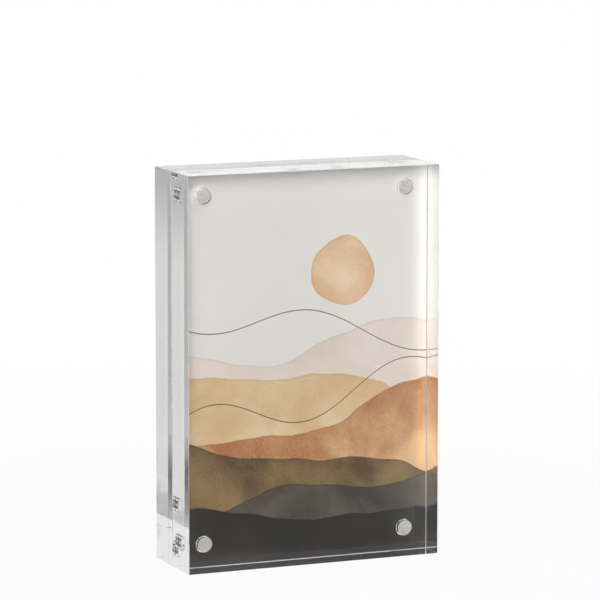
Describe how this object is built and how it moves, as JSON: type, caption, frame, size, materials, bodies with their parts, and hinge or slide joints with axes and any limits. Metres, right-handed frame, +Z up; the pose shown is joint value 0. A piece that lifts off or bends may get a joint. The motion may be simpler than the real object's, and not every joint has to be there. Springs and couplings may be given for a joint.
{
  "type": "acrylic block frame",
  "caption": "Free-standing clear acrylic block picture frame: polished slabs that disc magnets in blind pockets hold face to face, clamping a printed card between them.",
  "frame": {"origin": "middle of the base, on the surface that the block stands on", "axes": "+Z up along the block's height, +X to the right of a viewer who faces the front, front face towards -Y"},
  "size_m": [0.108, 0.0364, 0.1588],
  "materials": {
    "clear_acrylic": "polished",
    "nickel_plate": "polished",
    "printed_paper": "matte"
  },
  "bodies": {
    "rear_block": {"rear_slab": "clear_acrylic", "rear_magnet_top_left": "nickel_plate", "rear_magnet_top_right": "nickel_plate", "rear_magnet_bottom_left": "nickel_plate", "rear_magnet_bottom_right": "nickel_plate"},
    "front_block": {"front_slab": "clear_acrylic", "front_magnet_top_left": "nickel_plate", "front_magnet_top_right": "nickel_plate", "front_magnet_bottom_left": "nickel_plate", "front_magnet_bottom_right": "nickel_plate"},
    "card": {"printed_card": "printed_paper"}
  },
  "joints": [
    {"name": "front_pull", "type": "slide", "parent": "rear_block", "child": "front_block", "axis": [0, -1, 0], "range_m": [0, 0.06]},
    {"name": "card_lift", "type": "slide", "parent": "rear_block", "child": "card", "axis": [0, 0, 1], "range_m": [0, 0.165]}
  ]
}
